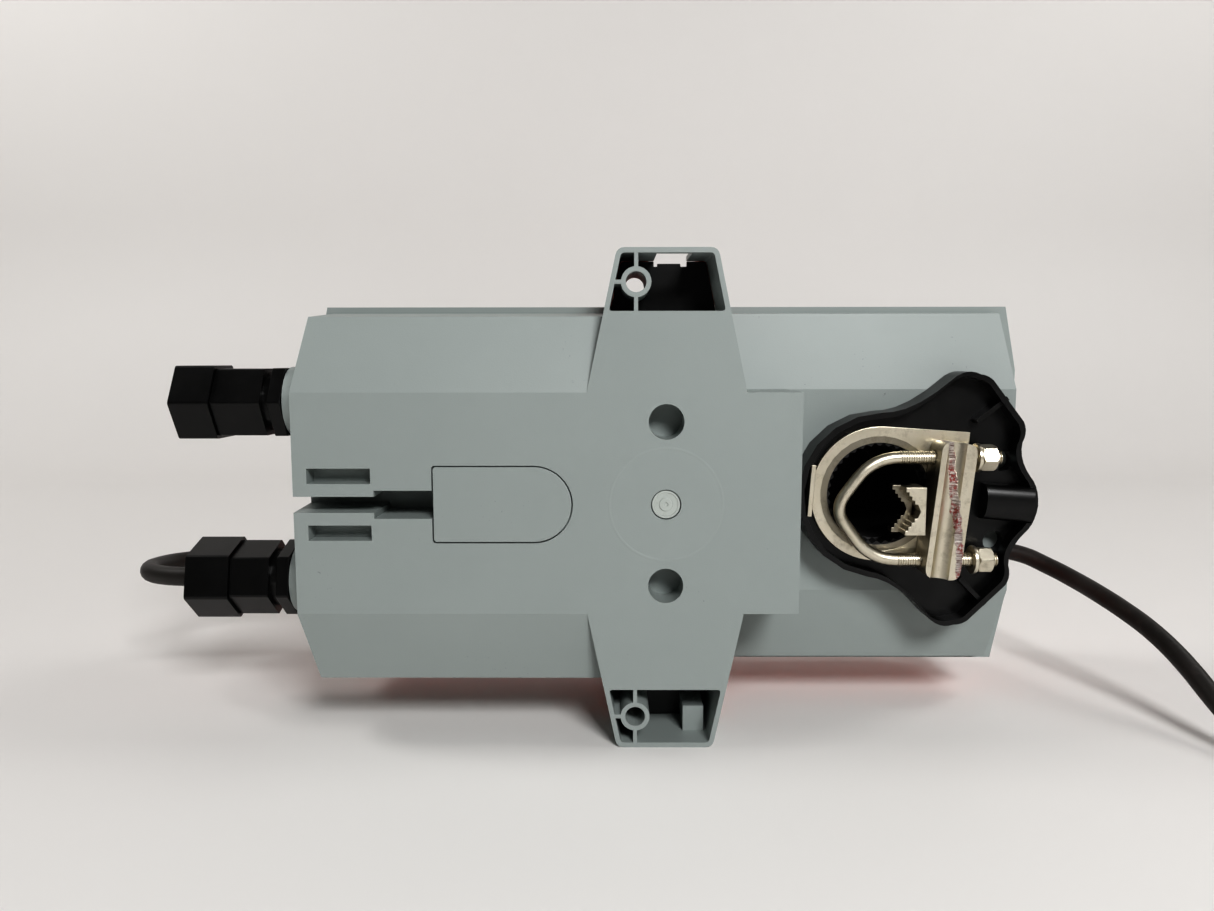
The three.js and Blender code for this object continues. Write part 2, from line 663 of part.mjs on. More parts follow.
function clampPlate() {
  const shape = new THREE.Shape();
  shape.absarc(0, 0, PLATE_R, Math.PI / 2, (3 * Math.PI) / 2, false);
  shape.lineTo(36, -PLATE_R);
  shape.lineTo(36, PLATE_R);
  const opening = new THREE.Shape();
  opening.absarc(0, 0, PLATE_BORE_R, 0, 2 * Math.PI, false);
  shape.holes.push(opening);
  const plate = slab(shape, PLATE_FRONT, PLATE_FRONT + PLATE_THICK, 16);
  const tab = box(-PLATE_R - 1.6, -PLATE_R + 0.4, PLATE_FRONT - 4, PLATE_FRONT + 1, -11, 11);
  return join(plate, tab);
}

// A rod bent to a V, with its two threaded legs along X.
function vBolt() {
  const at = (x, z) => new THREE.Vector3(x, ROD_DEPTH, z + ROD_DROP);
  const path = new THREE.CurvePath();
  const corners = [
    at(ROD_END_X, ROD_HALF),
    at(ROD_BEND_X, ROD_HALF),
    at(ROD_TIP_X, 0),
    at(ROD_BEND_X, -ROD_HALF),
    at(ROD_END_X, -ROD_HALF),
  ];
  const bends = [0, 11, 8, 11, 0];
  let from = corners[0];
  for (let i = 1; i < corners.length - 1; i++) {
    const [before, corner, after] = corners.slice(i - 1, i + 2);
    const into = before.clone().sub(corner).setLength(bends[i]).add(corner);
    const out = after.clone().sub(corner).setLength(bends[i]).add(corner);
    path.add(new THREE.LineCurve3(from, into));
    path.add(new THREE.QuadraticBezierCurve3(into, corner, out));
    from = out;
  }
  path.add(new THREE.LineCurve3(from, corners.at(-1)));
  return solid(new THREE.ExtrudeGeometry(circle(0, 0, ROD_R), {
    extrudePath: path,
    steps: 32,
    curveSegments: 5,
    bevelEnabled: false,
  }));
}

const legs = [-1, 1].map((side) => ROD_DROP + side * ROD_HALF);
const yokeCentre = (YOKE.left + YOKE.right) / 2;

// The yoke is pressed against the rod by the nuts, and leans because one nut is looser.
function yoke() {
  const { left, right, half, front, back, tilt } = YOKE;
  const block = new THREE.ExtrudeGeometry(rounded(rectangle(left, right, -half, half), 4), {
    depth: back - front,
    bevelEnabled: false,
    curveSegments: 4,
  });
  block.rotateX(Math.PI / 2).translate(-yokeCentre, back, 0);
  block.rotateY(rad(tilt)).translate(yokeCentre, 0, ROD_DROP);
  const legHole = (z) => bar(circle(ROD_DEPTH, z, ROD_R + 0.6), left - 9, right + 9, 6);
  return cut(solid(block), ...legs.map(legHole));
}

// The jaw's toothed edge: a shallow V of steps that faces the bolt's V.
function jaw() {
  const { reach, half, front, back } = JAW;
  const base = YOKE.left - 2.7;
  const step = 1.25;
  const points = [[base, -half], [base, half], [base - reach, half]];
  const notches = 4;
  for (let i = 0; i < notches; i++) {
    points.push([base - reach + i * step, half - 2 - i * 1.7]);
    points.push([base - reach + (i + 1) * step, half - 2 - i * 1.7]);
  }
  points.push([base - reach + (notches + 1) * step, 0]);
  for (let i = notches - 1; i >= 0; i--) {
    points.push([base - reach + (i + 1) * step, -(half - 2 - i * 1.7)]);
    points.push([base - reach + i * step, -(half - 2 - i * 1.7)]);
  }
  points.push([base - reach, -half]);
  const shape = polygon(points.map(([x, z]) => [x, z + ROD_DROP]).reverse());
  return slab(shape, front, back);
}

const washer = (x, z) => {
  const shape = circle(ROD_DEPTH, z, WASHER_R);
  shape.holes.push(circle(ROD_DEPTH, z, THREAD_R + 0.3));
  return bar(shape, x, x + WASHER_THICK, 8);
};

const nut = (z, spin) => {
  const shape = hexagon(ROD_DEPTH, z, NUT_FLATS, spin);
  shape.holes.push(circle(ROD_DEPTH, z, THREAD_R + 0.1));
  return bar(shape, NUT_X, NUT_X + NUT_HEIGHT, 6);
};

// ---- Cable glands ----

function hexTube(y, z, flats, bore, x0, x1, spin) {
  const shape = hexagon(y, z, flats, spin);
  shape.holes.push(circle(y, z, bore));
  return bar(shape, x0, x1, 8);
}

function glandPieces({ name, side, spin, step, end }) {
  const z = side * GLAND_Z;
  const nutEnd = BOSS_END - GAP - LOCK_NUT.length;
  const bodyEnd = nutEnd - 3.4;
  const thread = circle(GLAND_Y, z, GLAND_BORE_R - 0.4);
  thread.holes.push(circle(GLAND_Y, z, BODY_HEX.bore));
  const collar = circle(GLAND_Y, z, 12.6);
  collar.holes.push(circle(GLAND_Y, z, BODY_HEX.bore));
  const sealShape = circle(GLAND_Y, z, BODY_HEX.bore - GAP);
  const cableHole = CABLE_R + GAP;
  if (side < 0) sealShape.holes.push(circle(GLAND_Y, z, cableHole));
  const body = join(
    hexTube(GLAND_Y, z, BODY_HEX.flats, BODY_HEX.bore, step + GAP, bodyEnd, spin),
    bar(collar, bodyEnd - 0.5, nutEnd - GAP, 10),
    bar(thread, nutEnd - 1, BODY_LEFT + 8, 10),
  );
  return [
    piece(`${name}_gland_cap`, hexTube(GLAND_Y, z, CAP_HEX.flats, CAP_HEX.bore, end, step, spin), BLACK),
    piece(`${name}_gland_body`, body, BLACK),
    piece(
      `${name}_gland_lock_nut`,
      hexTube(GLAND_Y, z, LOCK_NUT.flats, GLAND_BORE_R + 0.1, nutEnd, BOSS_END - GAP, spin),
      BLACK,
    ),
    piece(`${name}_gland_seal`, bar(sealShape, step + 3, step + 14, 8), DARK_RUBBER),
  ];
}

// ---- Drive train ----

// An involute gear's outline, round a bore, with a tooth centred on the +X direction.
function gearShape(teeth, x, z, bore, turn = 0) {
  const pitchR = (MODULE * teeth) / 2;
  const pressure = rad(20);
  const baseR = pitchR * Math.cos(pressure);
  const involute = (angle) => Math.tan(angle) - angle;
  const rootR = pitchR - 1.25 * MODULE;
  const tipR = pitchR + 0.8 * MODULE;
  const halfAngle = (r) => {
    const angle = Math.acos(Math.min(1, baseR / r));
    return Math.PI / (2 * teeth) - BACKLASH / pitchR + involute(pressure) - involute(angle);
  };
  const radii = [rootR, pitchR, tipR];
  const points = [];
  for (let i = 0; i < teeth; i++) {
    const centre = (2 * Math.PI * i) / teeth + rad(turn);
    const flank = radii.map((r) => [r, halfAngle(Math.max(r, baseR))]);
    flank.forEach(([r, a]) => points.push([r, centre - a]));
    [...flank].reverse().forEach(([r, a]) => points.push([r, centre + a]));
  }
  const shape = polygon(points.map(([r, a]) => [x + r * Math.cos(a), z + r * Math.sin(a)]));
  if (bore) shape.holes.push(circle(x, z, bore));
  return shape;
}

const pitchRadius = (teeth) => (MODULE * teeth) / 2;
const IDLER_X = HUB_X - pitchRadius(OUTPUT_TEETH) - pitchRadius(IDLER_TEETH);
const ARBOR_X = IDLER_X - pitchRadius(IDLER_TEETH) - pitchRadius(OUTPUT_TEETH);
const MOTOR_Z = pitchRadius(IDLER_TEETH) + pitchRadius(PINION_TEETH);

function gearPlate() {
  const { front, back, left, right, half } = GEAR_PLATE;
  return cut(
    slab(rounded(rectangle(left, right, -half, half), 8), front, back, 4),
    disc(HUB_X, 0, HUB_R + RUNNING + BUSH_WALL + 1, front - 1, back + 1, 12),
    disc(ARBOR_X, 0, ARBOR_R + 0.5, front - 1, back + 1, 8),
    disc(IDLER_X, 0, IDLER_PIN_R + GAP, front - 1, back + 1, 8),
  );
}

const drum = () =>
  cut(
    disc(ARBOR_X, 0, DRUM.outer, DRUM.front, DRUM.back, 16),
    disc(ARBOR_X, 0, DRUM.outer - DRUM.wall, DRUM.front + DRUM.wall, DRUM.back - DRUM.wall, 16),
    disc(ARBOR_X, 0, ARBOR_R + 0.5, DRUM.back - 5, DRUM.back + 1, 8),
  );

// The coiled strip as one ring against the drum's wall, with its inner end run to the arbor.
const mainspring = () =>
  join(
    tube(ARBOR_X, 0, DRUM.outer - DRUM.wall - 1, SPRING_INNER_R, DRUM.front + 3, DRUM.back - 3, 12),
    box(ARBOR_X + ARBOR_R + GAP, ARBOR_X + SPRING_INNER_R + 1, DRUM.front + 3, DRUM.back - 3, -0.6, 0.6),
  );

const arbor = () =>
  join(
    disc(ARBOR_X, 0, ARBOR_R, DRUM.front + DRUM.wall + 1, GEAR_BACK + 3, 8),
    slab(gearShape(OUTPUT_TEETH, ARBOR_X, 0), GEAR_FRONT, GEAR_BACK),
  );

const motorShaft = () =>
  join(
    slab(gearShape(PINION_TEETH, IDLER_X, MOTOR_Z, 0, -90), GEAR_FRONT, GEAR_BACK),
    disc(IDLER_X, MOTOR_Z, MOTOR.shaft, GEAR_FRONT + 1, MOTOR.back + 0.7, 6),
  );

function crankSocket() {
  const shape = circle(IDLER_X, MOTOR_Z, FRONT_FEATURES.crank.r);
  return cut(
    slab(shape, MOTOR.back + 1, COVER_DEPTH - 0.4, 8),
    disc(IDLER_X, MOTOR_Z, 3.5, MOTOR.back + 3, COVER_DEPTH, 3),
  );
}

function lockKnob() {
  const { x, z, r } = FRONT_FEATURES.lock;
  return join(
    disc(x, z, r, COVER_DEPTH - 4.5, COVER_DEPTH + 0.4, 10),
    box(x - r + 1.5, x + r - 1.5, COVER_DEPTH, COVER_DEPTH + 3.4, z - 2, z + 2),
  );
}

// ---- Cable ----

function cableTube(radius = CABLE_R - 0.05, extra = []) {
  const points = [...CABLE_ROUTE, ...extra].map((point) => new THREE.Vector3(...point));
  const curve = new THREE.CatmullRomCurve3(points, false, "centripetal");
  return solid(new THREE.ExtrudeGeometry(circle(0, 0, radius), {
    extrudePath: curve,
    steps: 46,
    curveSegments: 4,
    bevelEnabled: false,
  }));
}

// One closed ring round the flat coil that the rest of the cable makes, with a channel for the tube that
// comes in and a notch for the bare conductors.
function cableCoil() {
  const outer = COIL.outer + CABLE_R;
  const inner = COIL.outer - COIL.pitch * COIL.turns - CABLE_R;
  const top = 2 * CABLE_R;
  const profile = [[inner, 0.1], [outer, 0.1], [outer, top], [inner, top], [inner, 0.1]];
  const ring = new THREE.LatheGeometry(profile.map(([r, h]) => new THREE.Vector2(r, h)), 28);
  const { radius, angle } = cableEnd();
  const reach = radius + CABLE_R + GAP;
  const notch = new THREE.Shape().moveTo(0, 0).lineTo(reach * Math.cos(angle), reach * Math.sin(angle));
  notch.absarc(0, 0, reach, angle, angle + (CONDUCTOR_LENGTH + CABLE_R) / radius);
  const slice = new THREE.ExtrudeGeometry(notch, { depth: top + 2, bevelEnabled: false }).translate(0, 0, -1);
  const place = (geometry) => solid(geometry.translate(COIL.x, COIL.y, -EAR_REACH));
  const [endX, endY, endZ] = CABLE_ROUTE.at(-1);
  const channel = cableTube(CABLE_R + GAP, [[endX + GAP, endY - GAP, endZ]]);
  return cut(place(ring.rotateX(Math.PI / 2)), place(slice), channel);
}

// Where the jacket ends in the coil, as a radius and an angle about the coil's centre.
function cableEnd() {
  return { radius: COIL.outer - COIL.pitch * COIL.turns, angle: rad(COIL.start) + 2 * Math.PI * COIL.turns };
}

// One of the two bare-ended conductors that leave the jacket side by side and settle on the surface.
function conductor(side) {
  const { radius, angle } = cableEnd();
  const along = [GAP, 8, 18, CONDUCTOR_LENGTH];
  const aside = [1.8, 2, 3.2, 5.6];
  const height = [CABLE_R, CABLE_R - 0.6, CABLE_R - 2, CONDUCTOR_R + 0.2];
  const points = along.map((t, i) => {
    const r = radius + side * aside[i] - 6 * (t / CONDUCTOR_LENGTH) ** 2;
    const turn = angle + t / radius;
    return new THREE.Vector3(COIL.x + r * Math.cos(turn), COIL.y + r * Math.sin(turn), height[i] - EAR_REACH);
  });
  return solid(new THREE.ExtrudeGeometry(circle(0, 0, CONDUCTOR_R), {
    extrudePath: new THREE.CatmullRomCurve3(points),
    steps: 8,
    curveSegments: 4,
    bevelEnabled: false,
  }));
}

// ---- Assembly ----

const housing = new THREE.Group();
housing.add(
  piece("rear_housing", rearHousing(), GREY),
  piece("front_cover", frontCover(), ORANGE),
  piece("cover_gasket", gasket(), DARK_RUBBER),
  piece("upper_ear_plate", earPlate(1), BLACK),
  piece("lower_ear_plate", earPlate(-1), BLACK),
  piece("slot_cover", slab(coverPlateOutline(0), 0, COVER_PLATE.thick), GREY),
  piece("centre_plug", disc(0, 0, PLUG_R - GAP, 0.6, PLUG_DEPTH - 0.9, 14), IVORY),
  ...screwPlaces.map((place, i) => piece(`cover_screw_${i + 1}`, coverScrew(place), STEEL)),
  ...GLANDS.flatMap(glandPieces),
);

const drive = new THREE.Group();
drive.add(
  piece("hub", hub(), BLACK),
  piece("rear_bush", bush(RECESS_DEPTH + 0.6, 50), IVORY),
  piece("front_bush", bush(FRONT_BUSH.start, FRONT_BUSH.end), IVORY),
  piece("spindle_cap", disc(HUB_X, 0, HUB_BORE_R - GAP, HUB_END - 6, HUB_END - 1, 14), BLACK),
  piece("position_indicator", indicator(), BLACK),
  piece("output_gear", slab(gearShape(OUTPUT_TEETH, HUB_X, 0, HUB_R + GAP, 180),
    GEAR_FRONT, GEAR_BACK, 12), STEEL),
  piece("gear_plate", gearPlate(), STEEL),
  piece("idler_gear", slab(gearShape(IDLER_TEETH, IDLER_X, 0, IDLER_PIN_R + GAP, 180 / IDLER_TEETH),
    GEAR_FRONT, GEAR_BACK), STEEL),
  piece("idler_pin", disc(IDLER_X, 0, IDLER_PIN_R, GEAR_PLATE.front - 3, GEAR_BACK + 2, 8), STEEL),
  piece("spring_drum", drum(), STEEL),
  piece("spring_arbor", arbor(), STEEL),
  piece("mainspring", mainspring(), STEEL),
  piece("motor", tube(IDLER_X, MOTOR_Z, MOTOR.r, MOTOR.shaft + 0.4, MOTOR.front, MOTOR.back, 10), STEEL),
  piece("motor_pinion", motorShaft(), STEEL),
  piece("crank_socket", crankSocket(), BLACK),
  piece("lock_knob", lockKnob(), BLACK),
  piece("test_button", disc(FRONT_FEATURES.button.x, FRONT_FEATURES.button.z, FRONT_FEATURES.button.r,
    BOARD.front + BOARD.thick + 2.6, COVER_DEPTH + 1.2, 8), BLACK),
  piece("circuit_board", box(BOARD.left, BOARD.right, BOARD.front, BOARD.front + BOARD.thick,
    -BOARD.half, BOARD.half), BOARD_GREEN),
  piece("terminal_block", box(-132, -118, 82, BOARD.front - GAP, -34, 34), BOARD_GREEN),
);

const clamp = new THREE.Group();
clamp.position.x = HUB_X;
const tilted = new THREE.Group();
tilted.rotation.y = rad(HUB_TILT);
tilted.add(piece("stop_piece", stopPiece(), BLACK), piece("clamp_plate", clampPlate(), ZINC));
clamp.add(
  tilted,
  piece("v_bolt", vBolt(), ZINC),
  piece("clamp_yoke", yoke(), ZINC),
  piece("clamp_jaw", jaw(), ZINC),
  piece("upper_washer", washer(NUT_X - GAP - WASHER_THICK, legs[1]), ZINC),
  piece("lower_washer", washer(NUT_X - GAP - WASHER_THICK, legs[0]), ZINC),
  piece("upper_nut", nut(legs[1], 12), ZINC),
  piece("lower_nut", nut(legs[0], -8), ZINC),
);

const cable = new THREE.Group();
cable.add(
  piece("cable", cableTube(), DARK_RUBBER),
  piece("cable_coil", cableCoil(), DARK_RUBBER),
  piece("brown_conductor", conductor(1), BROWN),
  piece("blue_conductor", conductor(-1), BLUE),
);

const actuator = new THREE.Group();
actuator.add(housing, drive, clamp, cable);
const rightEnd = BODY_RIGHT + spread(SPLIT_DEPTH) + RIM_STEP;
const leftEnd = Math.min(...GLANDS.map(({ end }) => end));
actuator.position.set(-(leftEnd + rightEnd) / 2, -(COVER_DEPTH + 3.5) / 2, EAR_REACH);

export default actuator;
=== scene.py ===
# A spring-return valve actuator seen from its mounting side: a moulded grey base with an orange cover behind
# it, two black cable glands with a lead, and a V-bolt spindle clamp on a black stop piece.
import json
import math

import bmesh
import bpy
from mathutils import Matrix, Vector


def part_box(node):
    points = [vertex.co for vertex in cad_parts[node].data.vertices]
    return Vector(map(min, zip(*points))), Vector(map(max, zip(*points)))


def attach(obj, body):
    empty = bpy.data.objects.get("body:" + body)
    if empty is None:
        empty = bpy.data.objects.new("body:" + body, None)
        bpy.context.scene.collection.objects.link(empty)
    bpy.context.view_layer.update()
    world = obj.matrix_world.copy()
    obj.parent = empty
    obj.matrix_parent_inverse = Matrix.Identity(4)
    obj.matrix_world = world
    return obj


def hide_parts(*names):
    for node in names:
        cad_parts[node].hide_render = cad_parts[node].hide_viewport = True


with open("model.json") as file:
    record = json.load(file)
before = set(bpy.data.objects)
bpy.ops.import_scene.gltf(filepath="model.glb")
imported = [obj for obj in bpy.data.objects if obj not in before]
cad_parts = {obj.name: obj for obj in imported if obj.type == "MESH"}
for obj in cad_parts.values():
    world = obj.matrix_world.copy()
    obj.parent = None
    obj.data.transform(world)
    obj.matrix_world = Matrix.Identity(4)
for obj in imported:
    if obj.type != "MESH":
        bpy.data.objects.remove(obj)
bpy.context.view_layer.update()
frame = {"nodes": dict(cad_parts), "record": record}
MM = 0.001
BODY_OF = {node: body for body, nodes in frame["record"]["behaviour"]["bodies"].items() for node in nodes}
SLOT_OF = {part["node"]: part["material_slot"] for part in frame["record"]["subparts"]}


# ---- Places, in millimetres from the centre plug: X along the body, Y in from the mounting face, Z up ----

def middle(node):
    low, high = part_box(node)
    return (Vector(low) + Vector(high)) / 2


ORIGIN = Vector((middle("centre_plug").x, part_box("rear_housing")[0][1], middle("centre_plug").z))
CLAMP_X = (middle("hub").x - ORIGIN.x) / MM
FLOOR_Z = (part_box("rear_housing")[0][2] - ORIGIN.z) / MM


def at(x, y, z):
    return ORIGIN + Vector((x, y, z)) * MM


def span(node):
    """The lowest and highest corner of a node, in millimetres from the centre plug."""
    return [(Vector(corner) - ORIGIN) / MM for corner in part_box(node)]


def add_object(name, data):
    obj = bpy.data.objects.new(name, data)
    bpy.context.collection.objects.link(obj)
    return obj


# ---- Camera ----

EYE = (-21.9, -344.9, 56.6)
PITCH = math.radians(6.13)
YAW = 0.004
ROLL = 0.001
SENSOR_WIDTH = 36
FOCAL_LENGTH = 26.24

camera = add_object("camera", bpy.data.cameras.new("camera"))
camera.location = at(*EYE)
camera.rotation_euler = (math.pi / 2 - PITCH, ROLL, YAW)
camera.data.sensor_width = SENSOR_WIDTH
camera.data.lens = FOCAL_LENGTH
camera.data.clip_start = 0.01
bpy.context.scene.camera = camera


# ---- Cable: its route, then one flat turn of a coil just outside the view ----

CABLE_R = 4.25
CABLE_ROUTE = [
    (-183, 41, -39),
    (-195, 41, -39),
    (-205.5, 41.1, -39.1),
    (-223.5, 45.8, -39.6),
    (-236.7, 59, -40.8),
    (-241.5, 77, -42.3),
    (-236.7, 95, -43.9),
    (-223.5, 108.2, -45.3),
    (-205.5, 114.4, -46.4),
    (-180, 117.6, -47.6),
    (-150, 119.5, -49),
    (-110, 120.5, -50.6),
    (-60, 120.5, -51.4),
    (0, 120.5, -51),
    (60, 120.5, -49.2),
    (105, 120, -46.6),
    (138, 118.6, -43.8),
    (160, 114.8, -42.1),
    (176, 110.6, -41.6),
    (189.8, 104.6, -43),
    (199.8, 95.5, -47.2),
    (206.7, 82.5, -51.1),
    (210.6, 66.5, -54.3),
    (215, 53, -58.4),
    (218.8, 40.5, -63),
    (222.2, 29.9, -68.6),
    (224.6, 19.4, -74.8),
    (225.9, 9, -80.8),
    (227.4, -3, -86.8),
    (230.6, -16, -91.8),
    (236, -29, -94.7),
    (243.4, -38.8, -95.4),
    (251.9, -46.1, -95.45),
]
COIL_X, COIL_Y = 288, -10
COIL_START = math.radians(225)
COIL_R, COIL_PITCH, COIL_TURNS = 51, 9, 1.02
COIL_STEPS = 22
CONDUCTOR_R = 1.3
CONDUCTOR_LENGTH = 30
FERRULE_LENGTH = 7
FERRULE_R = 0.85
FERRULE_OVERLAP = 1
INSULATION_START = 0.3
INSULATION_END = CONDUCTOR_LENGTH - FERRULE_LENGTH


def coil_point(turns, inward=0, height=CABLE_R, ahead=0):
    """A point of the flat coil after some turns, moved inward or further round its circle."""
    radius = COIL_R - COIL_PITCH * turns
    angle = COIL_START + 2 * math.pi * turns + ahead / radius
    radius -= inward
    return (COIL_X + radius * math.cos(angle), COIL_Y + radius * math.sin(angle), FLOOR_Z + height)


def cord_curve(name, points, radius):
    """A round cord along points, as a curve of one open spline."""
    data = bpy.data.curves.new(name, "CURVE")
    data.dimensions = "3D"
    data.bevel_depth = radius * MM
    data.bevel_resolution = 6
    data.use_fill_caps = True
    data.resolution_u = 8
    line = data.splines.new("BEZIER")
    line.bezier_points.add(len(points) - 1)
    for knot, point in zip(line.bezier_points, points):
        knot.co = at(*point)
        knot.handle_left_type = knot.handle_right_type = "AUTO"
    return add_object(name, data)


coil = [coil_point(COIL_TURNS * step / COIL_STEPS) for step in range(1, COIL_STEPS + 1)]
lead = cord_curve("lead", CABLE_ROUTE + coil, CABLE_R)


def conductor_path(side, start, end):
    """A conductor's line between two distances past the end of the jacket."""
    points = []
    for step in range(7):
        along = start + (end - start) * step / 6
        share = along / CONDUCTOR_LENGTH
        aside = side * (1.8 + 3.8 * share**2) - 6 * share**2
        height = CABLE_R - (CABLE_R - CONDUCTOR_R - 0.2) * math.sin(share * math.pi / 2) ** 2
        points.append(coil_point(COIL_TURNS, -aside, height, along))
    return points


SIDES = {"brown": 1, "blue": -1}
conductors = {
    f"{name}_conductor": cord_curve(
        f"{name}_wire", conductor_path(side, INSULATION_START, INSULATION_END), CONDUCTOR_R
    )
    for name, side in SIDES.items()
}
ferrules = [
    cord_curve(
        f"{name}_ferrule",
        conductor_path(side, INSULATION_END - FERRULE_OVERLAP, CONDUCTOR_LENGTH),
        FERRULE_R,
    )
    for name, side in SIDES.items()
]


# ---- Modelling helpers ----

def only(obj):
    """Leaves one object selected and active."""
    bpy.ops.object.select_all(action="DESELECT")
    obj.select_set(True)
    bpy.context.view_layer.objects.active = obj


def settle(name):
    """Names the new primitive and puts its place into its mesh."""
    obj = bpy.context.active_object
    obj.name = name
    only(obj)
    bpy.ops.object.transform_apply(location=True, rotation=True, scale=True)
    return obj


TURNS = {"X": (0, math.pi / 2, 0), "Y": (math.pi / 2, 0, 0), "Z": (0, 0, 0)}


def disc(name, centre, radius, depth, axis="Y", vertices=64):
    bpy.ops.mesh.primitive_cylinder_add(
        vertices=vertices,
        radius=radius * MM,
        depth=depth * MM,
        location=at(*centre),
        rotation=TURNS[axis],
    )
    return settle(name)


def block(name, low, high):
    low, high = Vector(low), Vector(high)
    bpy.ops.mesh.primitive_cube_add(size=1, location=at(*((low + high) / 2)), scale=(high - low) * MM)
    return settle(name)


def modify(obj, kind, **settings):
    modifier = obj.modifiers.new(kind.lower(), kind)
    for key, value in settings.items():
        setattr(modifier, key, value)
    only(obj)
    bpy.ops.object.modifier_apply(modifier=modifier.name)


def combine(obj, operation, *tools):
    for tool in tools:
        modify(obj, "BOOLEAN", operation=operation, object=tool, solver="EXACT")
        bpy.data.objects.remove(tool)
    return obj


def carve(obj, *tools):
    return combine(obj, "DIFFERENCE", *tools)


def weld(obj, *tools):
    return combine(obj, "UNION", *tools)


def tidy_faces(obj):
    """Merges doubled corners and the triangles of each flat face."""
    only(obj)
    bpy.ops.object.mode_set(mode="EDIT")
    bpy.ops.mesh.select_all(action="SELECT")
    bpy.ops.mesh.remove_doubles(threshold=0.002 * MM)
    bpy.ops.mesh.dissolve_limited(angle_limit=math.radians(0.6))
    bpy.ops.object.mode_set(mode="OBJECT")


def soften(obj, width, segments=2, angle=28, smooth=32):
    """Rounds the sharp edges and smooths the rest."""
    modify(
        obj,
        "BEVEL",
        width=width * MM,
        segments=segments,
        limit_method="ANGLE",
        angle_limit=math.radians(angle),
        miter_outer="MITER_ARC",
    )
    only(obj)
    bpy.ops.object.shade_smooth_by_angle(angle=math.radians(smooth))
    modify(obj, "WEIGHTED_NORMAL", mode="FACE_AREA", weight=80, keep_sharp=True)
    return obj


def copy_of(node):
    """A welded copy of a node's mesh, to be worked on."""
    obj = add_object(f"{node}_body", frame["nodes"][node].data.copy())
    tidy_faces(obj)
    return obj


def round_edges(obj, width, segments, test):
    """Rounds the edges that pass a test of their middle and run, in millimetres from the plug."""
    only(obj)
    bpy.ops.object.mode_set(mode="EDIT")
    bpy.ops.mesh.select_mode(type="EDGE")
    bpy.ops.mesh.select_all(action="DESELECT")
    shape = bmesh.from_edit_mesh(obj.data)
    for edge in shape.edges:
        ends = [(vertex.co - ORIGIN) / MM for vertex in edge.verts]
        edge.select = test((ends[0] + ends[1]) / 2, ends[1] - ends[0])
    bmesh.update_edit_mesh(obj.data)
    bpy.ops.mesh.bevel(offset=width * MM, segments=segments, affect="EDGES")
    bpy.ops.object.mode_set(mode="OBJECT")


def along_body(run, shortest):
    """Whether an edge runs along X and is longer than a length."""
    return abs(run.x) > 0.9 * run.length and run.length > shortest


def place(obj, node, replace=True, finish=None):
    """Gives a piece the body, slot and material of a node, which it may stand for."""
    slot = SLOT_OF[node]
    obj.data.materials.clear()
    obj.data.materials.append(finish or FINISHES[slot])
    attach(obj, BODY_OF[node])
    if replace:
        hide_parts(node)


# ---- Materials ----

class Field:
    """A number or colour that varies over a surface; expressions on it add Math nodes."""

    def __init__(self, tree, socket):
        self.tree = tree
        self.socket = socket

    def _math(self, operation, *values):
        node = self.tree.nodes.new("ShaderNodeMath")
        node.operation = operation
        for socket, value in zip(node.inputs, values):
            feed(self.tree, socket, value)
        return Field(self.tree, node.outputs[0])

    def __add__(self, other):
        return self._math("ADD", self, other)

    def __radd__(self, other):
        return self._math("ADD", other, self)

    def __sub__(self, other):
        return self._math("SUBTRACT", self, other)

    def __rsub__(self, other):
        return self._math("SUBTRACT", other, self)

    def __mul__(self, other):
        return self._math("MULTIPLY", self, other)

    def __rmul__(self, other):
        return self._math("MULTIPLY", other, self)

    def __pow__(self, other):
        return self._math("POWER", self, other)

    def size(self):
        return self._math("ABSOLUTE", self)

    def ramp(self, low, high):
        """0 below low, 1 above high, even in between."""
        node = self.tree.nodes.new("ShaderNodeMapRange")
        for key, value in (("Value", self), ("From Min", low), ("From Max", high)):
            feed(self.tree, node.inputs[key], value)
        return Field(self.tree, node.outputs["Result"])


def feed(tree, socket, value):
    if isinstance(value, Field):
        tree.links.new(value.socket, socket)
    elif isinstance(value, tuple) and socket.type == "RGBA":
        socket.default_value = (*value, 1) if len(value) == 3 else value
    else:
        socket.default_value = value


